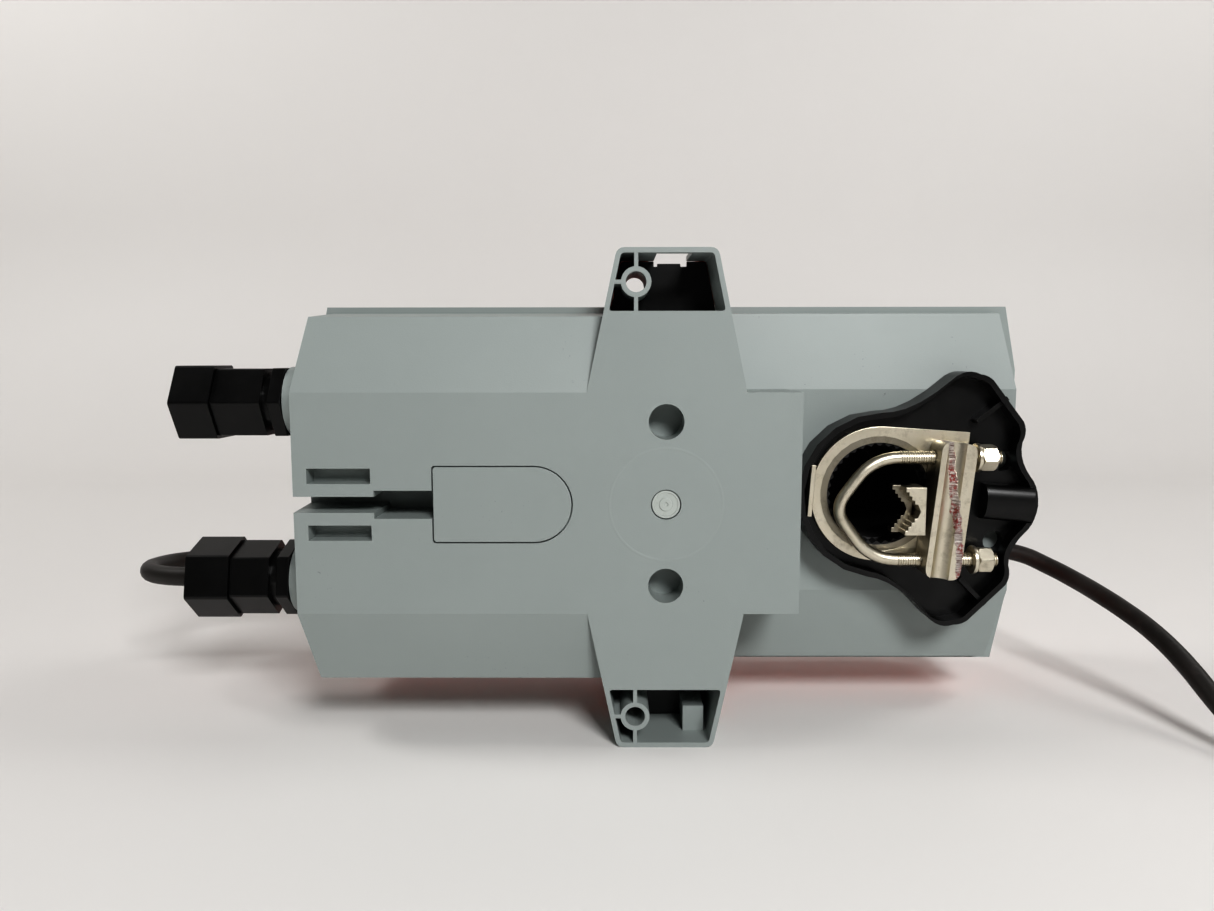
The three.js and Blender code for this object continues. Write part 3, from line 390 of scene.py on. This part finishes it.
class Finish:
    """One material: its shader, its patterns and the sums on them."""

    def __init__(self, name, **constants):
        self.material = bpy.data.materials.new(name)
        self.material.use_nodes = True
        self.tree = self.material.node_tree
        self.shader = self.tree.nodes["Principled BSDF"]
        for key, value in constants.items():
            feed(self.tree, self.shader.inputs[key], value)
        self.point = self.node("ShaderNodeTexCoord", output="Object")

    def node(self, kind, settings=None, inputs=None, output=0):
        node = self.tree.nodes.new(kind)
        for key, value in (settings or {}).items():
            setattr(node, key, value)
        for key, value in (inputs or {}).items():
            feed(self.tree, node.inputs[key], value)
        return Field(self.tree, node.outputs[output])

    def moved(self, origin, stretch=(1, 1, 1), turn=(0, 0, 0)):
        """The surface point measured from an origin, turned, then stretched."""
        shifted = self.node("ShaderNodeVectorMath", {"operation": "SUBTRACT"}, {0: self.point, 1: origin})
        return self.node("ShaderNodeMapping", None, {"Vector": shifted, "Rotation": turn, "Scale": stretch})

    def axes(self, origin):
        """The surface point in millimetres from an origin, as three numbers."""
        shifted = self.moved(origin, (1 / MM, 1 / MM, 1 / MM))
        return [self.node("ShaderNodeSeparateXYZ", None, {0: shifted}, i) for i in range(3)]

    def noise(self, scale, detail=2, roughness=0.5, vector=None):
        inputs = {"Vector": vector or self.point, "Scale": scale, "Detail": detail, "Roughness": roughness}
        return self.node("ShaderNodeTexNoise", None, inputs, "Fac")

    def blend(self, mask, low, high):
        """A colour between two colours."""
        return self.node("ShaderNodeMix", {"data_type": "RGBA"}, {0: mask, 6: low, 7: high}, 2)

    def shade(self, color, roughness, bumps=()):
        """Feeds the shader; each bump is a height pattern and its depth in millimetres."""
        feed(self.tree, self.shader.inputs["Base Color"], color)
        feed(self.tree, self.shader.inputs["Roughness"], roughness)
        normal = None
        for height, distance in bumps:
            inputs = {"Height": height, "Distance": distance * MM, "Strength": 1.0}
            if normal:
                inputs["Normal"] = normal
            normal = self.node("ShaderNodeBump", None, inputs)
        if normal:
            feed(self.tree, self.shader.inputs["Normal"], normal)
        return self.material


PLUG_MARK_R = 22.4
YOKE_TILT = math.radians(5.8)
YOKE_CENTRE = tuple(middle("clamp_yoke"))
YOKE_STRIP = (0.6, 3.6)


def housing_grey():
    """Grey moulded polyamide: fine spark-eroded grain, faint flow clouds, small dark scuffs."""
    f = Finish("housing_grey", IOR=1.5)
    cloud = f.noise(16, 4, 0.55)
    flow = f.noise(5, 3, 0.5, f.moved(ORIGIN, (1, 1, 4)))
    x, _, z = f.axes(ORIGIN)
    radius = (x * x + z * z) ** 0.5
    mark = 1 - (radius - PLUG_MARK_R).size().ramp(0.1, 0.7)
    inside = 1 - radius.ramp(PLUG_MARK_R - 0.4, PLUG_MARK_R)
    scuff_zone = f.noise(38, 2).ramp(0.6, 0.68)
    scuff = f.noise(520, 3, 0.7).ramp(0.66, 0.7) * scuff_zone
    tone = 0.35 * cloud + 0.4 * flow + 0.12 * mark + 0.05 * inside
    plain = f.blend(tone, (0.27, 0.301, 0.293), (0.333, 0.365, 0.355))
    color = f.blend(scuff * 0.65, plain, (0.11, 0.11, 0.105))
    roughness = 0.42 + 0.14 * cloud + 0.1 * scuff
    grain = f.noise(2100, 2, 0.6)
    return f.shade(color, roughness, [(grain, 0.035), (mark, 0.05)])


def cover_orange():
    """Orange moulded cover with the same grain and a little rubbed gloss."""
    f = Finish("cover_orange", IOR=1.5)
    cloud = f.noise(18, 4)
    rub = f.noise(70, 3, 0.6, f.moved(ORIGIN, (1, 1, 3))).ramp(0.45, 0.75)
    color = f.blend(0.6 * cloud + 0.15 * rub, (0.5, 0.06, 0.014), (0.62, 0.095, 0.028))
    return f.shade(color, 0.36 + 0.16 * cloud - 0.06 * rub, [(f.noise(1900, 2, 0.6), 0.035)])


def moulded_black(name, low, high, gloss, dust=0.0):
    """Black plastic: grain, slow changes of gloss and a film of dust."""
    f = Finish(name, IOR=1.42)
    cloud = f.noise(45, 4, 0.6)
    film = f.noise(160, 4, 0.7).ramp(0.5, 0.85) * dust
    color = f.blend(cloud, (low, low, low), (high, high, high))
    color = f.blend(film, color, (0.12, 0.115, 0.11))
    return f.shade(color, gloss + 0.16 * cloud + 0.25 * film, [(f.noise(1300, 3, 0.6), 0.02)])


def hub_black():
    """Blackened cast hub: pitted and dull."""
    f = Finish("hub_black", IOR=1.5)
    pits = f.noise(900, 4, 0.7)
    cloud = f.noise(120, 3)
    color = f.blend(cloud, (0.006, 0.006, 0.007), (0.022, 0.021, 0.02))
    return f.shade(color, 0.55 + 0.2 * cloud, [(pits, 0.08)])


def seal_rubber():
    f = Finish("seal_rubber", IOR=1.5)
    cloud = f.noise(90, 3)
    color = f.blend(cloud, (0.012, 0.012, 0.012), (0.03, 0.029, 0.028))
    return f.shade(color, 0.62 + 0.15 * cloud, [(f.noise(1500, 3), 0.03)])


def cable_jacket():
    """Dark rubber jacket, slightly brown, with fine drawn texture and dusty scuffs."""
    f = Finish("cable_jacket", IOR=1.5)
    cloud = f.noise(60, 4, 0.6)
    dust = f.noise(240, 4, 0.7).ramp(0.52, 0.8)
    color = f.blend(cloud, (0.011, 0.0095, 0.0085), (0.026, 0.023, 0.02))
    color = f.blend(dust * 0.3, color, (0.09, 0.08, 0.07))
    return f.shade(color, 0.42 + 0.2 * cloud + 0.1 * dust, [(f.noise(800, 3), 0.04)])


def zinc(name, striped=False, painted_shade=0.0):
    """Yellow-passivated zinc plate: warm tint in clouds, drawn streaks, dull patches; the yoke's cut edge
    is torn in fine stripes across it, with some old red paint."""
    f = Finish(name, Metallic=1.0)
    cloud = f.noise(85, 4, 0.6)
    stain = f.noise(230, 4, 0.7).ramp(0.52, 0.78)
    color = f.blend(cloud, (0.55, 0.5, 0.39), (0.74, 0.7, 0.6))
    color = f.blend(stain * 0.5, color, (0.24, 0.21, 0.15))
    # Painted shade: a share of near black blended into the whole plate, for parts that sit in shadow.
    if painted_shade:
        color = f.blend(painted_shade, color, (0.06, 0.05, 0.035))
    streak = f.noise(420, 3, 0.6, f.moved(ORIGIN, (1, 1, 0.12)))
    roughness = 0.24 + 0.2 * cloud + 0.22 * stain
    bumps = [(streak, 0.03), (f.noise(700, 3), 0.04)]
    if not striped:
        return f.shade(color, roughness, bumps)
    turn = (0, YOKE_TILT, 0)
    low, high = YOKE_STRIP
    in_mm = (1 / MM, 1 / MM, 1 / MM)
    across = f.node("ShaderNodeSeparateXYZ", None, {0: f.moved(YOKE_CENTRE, in_mm, turn)}, 0)
    ragged = f.noise(330, 2, 0.5, f.moved(YOKE_CENTRE, (0.2, 0.2, 1), turn)) * 3 - 1.5
    edge = across + ragged
    strip = edge.ramp(low - 0.2, low + 0.2) * (1 - edge.ramp(high - 0.2, high + 0.2))
    torn = f.noise(1500, 4, 0.65, f.moved(YOKE_CENTRE, (0.12, 0.12, 1), turn)).ramp(0.35, 0.68)
    paint = f.noise(110, 3, 0.6).ramp(0.5, 0.62) * f.noise(900, 3, 0.6).ramp(0.42, 0.55)
    cut = f.blend(torn, (0.2, 0.14, 0.12), (0.86, 0.82, 0.78))
    cut = f.blend(paint * 0.8, cut, (0.33, 0.03, 0.025))
    color = f.blend(strip, color, cut)
    rough_cut = strip * (0.18 + 0.2 * torn)
    return f.shade(color, roughness + rough_cut, [*bumps, (torn * strip, 0.35)])


def plain_steel():
    """Turned and ground steel with fine streaks and an oil film."""
    f = Finish("steel", Metallic=1.0)
    cloud = f.noise(120, 4)
    color = f.blend(cloud, (0.42, 0.42, 0.43), (0.62, 0.62, 0.63))
    streak = f.noise(900, 3, 0.6, f.moved(ORIGIN, (1, 0.1, 1)))
    return f.shade(color, 0.26 + 0.18 * cloud, [(streak, 0.02)])


def pale_plastic(name, low, high):
    f = Finish(name, IOR=1.5)
    cloud = f.noise(60, 4)
    grime = f.noise(300, 4, 0.7).ramp(0.55, 0.8)
    color = f.blend(cloud, low, high)
    color = f.blend(grime * 0.35, color, (0.24, 0.23, 0.2))
    return f.shade(color, 0.4 + 0.15 * cloud, [(f.noise(1500, 2), 0.02)])


def board_green():
    f = Finish("board_green", IOR=1.5)
    weave = f.noise(700, 2)
    color = f.blend(weave, (0.01, 0.11, 0.045), (0.02, 0.17, 0.07))
    return f.shade(color, 0.3 + 0.1 * weave, [(weave, 0.02)])


FINISHES = {
    "housing_grey": housing_grey(),
    "cover_orange": cover_orange(),
    "gland_black": moulded_black("gland_black", 0.003, 0.007, gloss=0.24, dust=0.03),
    "stop_black": moulded_black("stop_black", 0.0025, 0.006, gloss=0.24, dust=0.035),
    "control_black": moulded_black("control_black", 0.003, 0.009, gloss=0.35),
    "hub_black": hub_black(),
    "seal_rubber": seal_rubber(),
    "cable_jacket": cable_jacket(),
    "zinc_plate": zinc("zinc_plate"),
    "steel": plain_steel(),
    "bearing_plastic": pale_plastic("bearing_plastic", (0.5, 0.49, 0.44), (0.62, 0.61, 0.56)),
    "plug_plastic": pale_plastic("plug_plastic", (0.36, 0.39, 0.37), (0.5, 0.53, 0.5)),
    "board_green": board_green(),
    "wire_blue": pale_plastic("wire_blue", (0.01, 0.06, 0.32), (0.015, 0.09, 0.42)),
    "wire_brown": pale_plastic("wire_brown", (0.08, 0.03, 0.012), (0.12, 0.05, 0.02)),
}
YOKE_FINISH = zinc("zinc_plate_torn", striped=True)
# A darker copy of the zinc with painted shade, for the rear jaw plate and the plate lip, which sit in
# shadow.
SHADED_ZINC_FINISH = zinc("zinc_plate_painted_shade", painted_shade=0.6)


# ---- Cable pieces ----

place(lead, "cable")
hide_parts("cable_coil")
for node, wire in conductors.items():
    place(wire, node)
for ferrule in ferrules:
    ferrule.data.materials.append(FINISHES["steel"])
    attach(ferrule, "housing")


# ---- Housing, cover and trim ----

CREASE = 16.5  # degrees; the flanks meet the face at little more
RIDGE_DEPTH = 22.4
RIDGE_ROUND = 6.2
JAW_SPLIT = 7.5
JAW_REACH = 3.4
LIP_R = 25.3
LIP_BORE_R = 21.9
LIP_THICKNESS = 0.4
LIP_AHEAD = 0.45

place(soften(copy_of("rear_housing"), 0.7, smooth=CREASE), "rear_housing")

for node, width in {
    "front_cover": 0.9,
    "slot_cover": 0.3,
    "upper_ear_plate": 0.3,
    "lower_ear_plate": 0.3,
    "hub": 0.35,
    "clamp_plate": 0.4,
    "position_indicator": 0.5,
    "lock_knob": 0.7,
    "crank_socket": 0.4,
    "test_button": 0.5,
    "spindle_cap": 0.6,
    "cover_gasket": 0.1,
    "clamp_jaw": 0.25,
}.items():
    place(soften(copy_of(node), width), node)


def stop_piece():
    """The stop piece with its middle lobe's ridge rounded to a half cylinder."""
    piece = copy_of("stop_piece")
    round_edges(piece, RIDGE_ROUND, 6, lambda spot, run: spot.y < RIDGE_DEPTH and along_body(run, 8))
    return soften(piece, 0.6)


place(stop_piece(), "stop_piece")


def rear_jaw():
    """The jaw's second toothed plate, which reaches further into the bore."""
    low, high = span("clamp_jaw")
    plate = copy_of("clamp_jaw")
    beyond = Vector((9, 1, 9))
    split = Vector((high.x + beyond.x, low.y + JAW_SPLIT, high.z + beyond.z))
    carve(plate, block("front_half", low - beyond, split))
    plate.data.transform(Matrix.Translation((-JAW_REACH * MM, 0, 0)))
    return soften(plate, 0.25)


# The rear jaw plate takes the zinc with painted shade.
place(rear_jaw(), "clamp_jaw", replace=False, finish=SHADED_ZINC_FINISH)


def plate_lip():
    """The clamp plate's thin inner lip, which covers the hub's end as far as the teeth."""
    centre = (CLAMP_X, span("hub")[0].y - LIP_AHEAD, 0)
    lip = disc("plate_lip", centre, LIP_R, LIP_THICKNESS, vertices=72)
    carve(lip, disc("lip_bore", centre, LIP_BORE_R, 3, vertices=72))
    return soften(lip, 0.1)


# The lip takes the zinc with painted shade.
place(plate_lip(), "clamp_plate", replace=False, finish=SHADED_ZINC_FINISH)

for index in range(1, 7):
    place(soften(copy_of(f"cover_screw_{index}"), 0.3), f"cover_screw_{index}")


def centre_plug():
    """A pale push-in plug with a raised rim and a dimple in the middle."""
    low, high = span("centre_plug")
    radius = (high.x - low.x) / 2
    plug = disc("plug_cap", (0, (low.y + high.y) / 2, 0), radius, high.y - low.y)
    carve(plug, disc("rim_cut", (0, low.y, 0), radius - 0.9, 0.7))
    weld(plug, disc("plug_nub", (0, low.y + 0.35, 0), 2.6, 0.9, vertices=32))
    carve(plug, disc("dimple", (0, low.y - 0.1, 0), 0.8, 0.9, vertices=24))
    return soften(plug, 0.2)


place(centre_plug(), "centre_plug")


# ---- Glands ----

def gland_part(node, corner, edge):
    """A moulded hexagonal gland piece with generous corners and softened rims."""
    piece = copy_of(node)
    round_edges(piece, corner, 4, lambda _, run: along_body(run, 3))
    return soften(piece, edge, 3, 40)


for side in ("upper", "lower"):
    for part, corner, edge in (("cap", 1.0, 0.9), ("body", 0.8, 0.4), ("lock_nut", 0.8, 0.6)):
        node = f"{side}_gland_{part}"
        place(gland_part(node, corner, edge), node)
    place(soften(copy_of(f"{side}_gland_seal"), 0.4), f"{side}_gland_seal")


# ---- Spindle clamp ----

ROD_R = 2.6
THREAD_R = 2.95
THREAD_PITCH = 1.0
ROD_Y = 21.5
ROD_Z = -5.3
ROD_HALF = 21.6
LEG_END = 44
KNEE = -4.5
TIP = -20.5
KNEE_BEND, TIP_BEND = 11, 8
THREAD_START, THREAD_END = 6, 48
NUT_FLATS = 10
CHAMFER_SHARE = 1.13
WASHER_HOLE_R = 3.3
TROUGH_R = 4.0
LEG_ZS = [ROD_Z - ROD_HALF, ROD_Z + ROD_HALF]


def thread(name, leg_z, start, end):
    """A helical thread round a leg: one tooth's profile screwed along the leg."""
    turns = int((end - start) / THREAD_PITCH)
    root = ROD_R - 0.3
    profile = [(0, root), (0.15, root), (0.45, THREAD_R), (0.55, THREAD_R), (0.85, root), (1.0, root)]
    mesh = bpy.data.meshes.new(name)
    corners = [(x * THREAD_PITCH * MM, 0, r * MM) for x, r in profile]
    mesh.from_pydata(corners, [(i, i + 1) for i in range(len(corners) - 1)], [])
    obj = add_object(name, mesh)
    modify(
        obj,
        "SCREW",
        axis="X",
        angle=2 * math.pi,
        screw_offset=THREAD_PITCH * MM,
        iterations=turns,
        steps=20,
        render_steps=20,
        use_merge_vertices=True,
        merge_threshold=0.01 * MM,
    )
    only(obj)
    bpy.ops.object.mode_set(mode="EDIT")
    bpy.ops.mesh.select_all(action="SELECT")
    bpy.ops.mesh.remove_doubles(threshold=0.01 * MM)
    bpy.ops.mesh.normals_make_consistent(inside=False)
    bpy.ops.transform.translate(value=at(start, ROD_Y, leg_z))
    bpy.ops.object.mode_set(mode="OBJECT")
    bpy.ops.object.shade_smooth_by_angle(angle=math.radians(25))
    return obj


def v_bolt():
    """The rod, bent to a V with rounded corners, in the plane of the clamp."""
    outline = [(LEG_END, ROD_HALF), (KNEE, ROD_HALF), (TIP, 0), (KNEE, -ROD_HALF), (LEG_END, -ROD_HALF)]
    corners = [Vector((CLAMP_X + x, ROD_Y, ROD_Z + z)) for x, z in outline]
    bends = [KNEE_BEND, TIP_BEND, KNEE_BEND]
    points = [corners[0]]
    for before, here, after, bend in zip(corners, corners[1:], corners[2:], bends):
        into = here + (before - here).normalized() * bend
        out = here + (after - here).normalized() * bend
        for step in range(9):
            t = step / 8
            points.append(into * (1 - t) ** 2 + here * 2 * t * (1 - t) + out * t**2)
    points.append(corners[-1])
    data = bpy.data.curves.new("v_rod", "CURVE")
    data.dimensions = "3D"
    data.bevel_depth = ROD_R * MM
    data.bevel_resolution = 6
    data.use_fill_caps = True
    line = data.splines.new("POLY")
    line.points.add(len(points) - 1)
    for knot, point in zip(line.points, points):
        knot.co = (*at(*point), 1)
    only(add_object("v_rod", data))
    bpy.ops.object.convert(target="MESH")
    rod = bpy.context.active_object
    bpy.ops.object.shade_smooth_by_angle(angle=math.radians(40))
    return rod


place(v_bolt(), "v_bolt")
for number, leg_z in enumerate(LEG_ZS, 1):
    ridge = thread(f"leg_thread_{number}", leg_z, CLAMP_X + THREAD_START, CLAMP_X + THREAD_END)
    place(ridge, "v_bolt", replace=False)


def hex_nut(node):
    """A hexagon nut with chamfered ends."""
    low, high = span(node)
    centre = (low + high) / 2
    nut = copy_of(node)
    cone = disc("chamfer", centre, NUT_FLATS / 2 * CHAMFER_SHARE, high.x - low.x, "X")
    soften(cone, 1.1, 3)
    combine(nut, "INTERSECT", cone)
    return soften(nut, 0.2)


for node in ("upper_nut", "lower_nut"):
    place(hex_nut(node), node)


def flat_washer(node, leg_z):
    low, high = span(node)
    centre = ((low.x + high.x) / 2, ROD_Y, leg_z)
    washer = disc(f"{node}_ring", centre, (high.z - low.z) / 2, high.x - low.x, "X")
    carve(washer, disc("washer_hole", centre, WASHER_HOLE_R, 5, "X", 48))
    return soften(washer, 0.3)


place(flat_washer("lower_washer", LEG_ZS[0]), "lower_washer")
place(flat_washer("upper_washer", LEG_ZS[1]), "upper_washer")


def clamp_yoke():
    """The pressed bar that bridges the legs: a rolled left side, a trough and a torn cut edge."""
    low, high = span("clamp_yoke")
    bar = copy_of("clamp_yoke")
    centre = Vector(YOKE_CENTRE)
    trough = disc("trough", (0, 0, 0), TROUGH_R, high.z - low.z + 20, "Z", 48)
    offset = Vector((-1.1 * MM, (low.y - 1.4) * MM - (centre.y - ORIGIN.y), 0)) - ORIGIN
    lean = Matrix.Rotation(YOKE_TILT, 4, "Y")
    trough.data.transform(Matrix.Translation(centre) @ lean @ Matrix.Translation(offset))
    carve(bar, trough)
    return soften(bar, 1.3, 4, 35)


place(clamp_yoke(), "clamp_yoke", finish=YOKE_FINISH)


# ---- Everything that keeps its first shape ----

for node, obj in frame["nodes"].items():
    for holder in obj.material_slots:
        holder.material = FINISHES[SLOT_OF[node]]


# ---- Floor, backdrop and light ----

def studio():
    f = Finish("pale_paper")
    cloud = f.noise(1.5, 3)
    color = f.blend(cloud, (0.76, 0.745, 0.73), (0.785, 0.77, 0.755))
    return f.shade(color, 0.6)


def backdrop():
    """A floor that curves up into a wall behind the object."""
    front, bend, far, top, wide = -1.6, 0.75, 1.15, 2.2, 2.4
    steps = 16
    profile = [(front, 0)] + [
        (bend + (far - bend) * math.sin(a), (far - bend) * (1 - math.cos(a)))
        for a in (math.pi / 2 * i / steps for i in range(steps + 1))
    ] + [(far, top)]
    mesh = bpy.data.meshes.new("paper_sweep")
    corners = [(x, y, z) for y, z in profile for x in (-wide, wide)]
    faces = [(2 * i, 2 * i + 1, 2 * i + 3, 2 * i + 2) for i in range(len(profile) - 1)]
    mesh.from_pydata(corners, [], faces)
    sweep = add_object("paper_sweep", mesh)
    only(sweep)
    bpy.ops.object.shade_smooth()
    mesh.materials.append(studio())


backdrop()


WARM_WHITE = (1, 0.985, 0.965)


def softbox(name, position, aim, width, height, power, color=(1, 1, 1)):
    light = bpy.data.lights.new(name, "AREA")
    light.shape = "RECTANGLE"
    light.size = width
    light.size_y = height
    light.energy = power
    light.color = color
    obj = add_object(name, light)
    obj.location = position
    obj.rotation_euler = (Vector(aim) - Vector(position)).to_track_quat("-Z", "Y").to_euler()


softbox("key", (0.45, -1.3, 1.0), (0, 0, 0.05), 0.5, 0.4, 17)
softbox("wall_left", (-1.5, 0.1, 1.6), (-0.9, 1.15, 0.6), 0.9, 0.6, 11.5, WARM_WHITE)
softbox("wall_right", (1.5, 0.1, 1.6), (0.9, 1.15, 0.6), 0.9, 0.6, 9, WARM_WHITE)

world = bpy.data.worlds.new("studio")
bpy.context.scene.world = world
world.use_nodes = True
sky = world.node_tree.nodes["Background"]
sky.inputs["Color"].default_value = (1.0, 0.985, 0.97, 1)
sky.inputs["Strength"].default_value = 0.045
bpy.context.scene.view_settings.view_transform = "Standard"
bpy.context.scene.view_settings.look = "High Contrast"
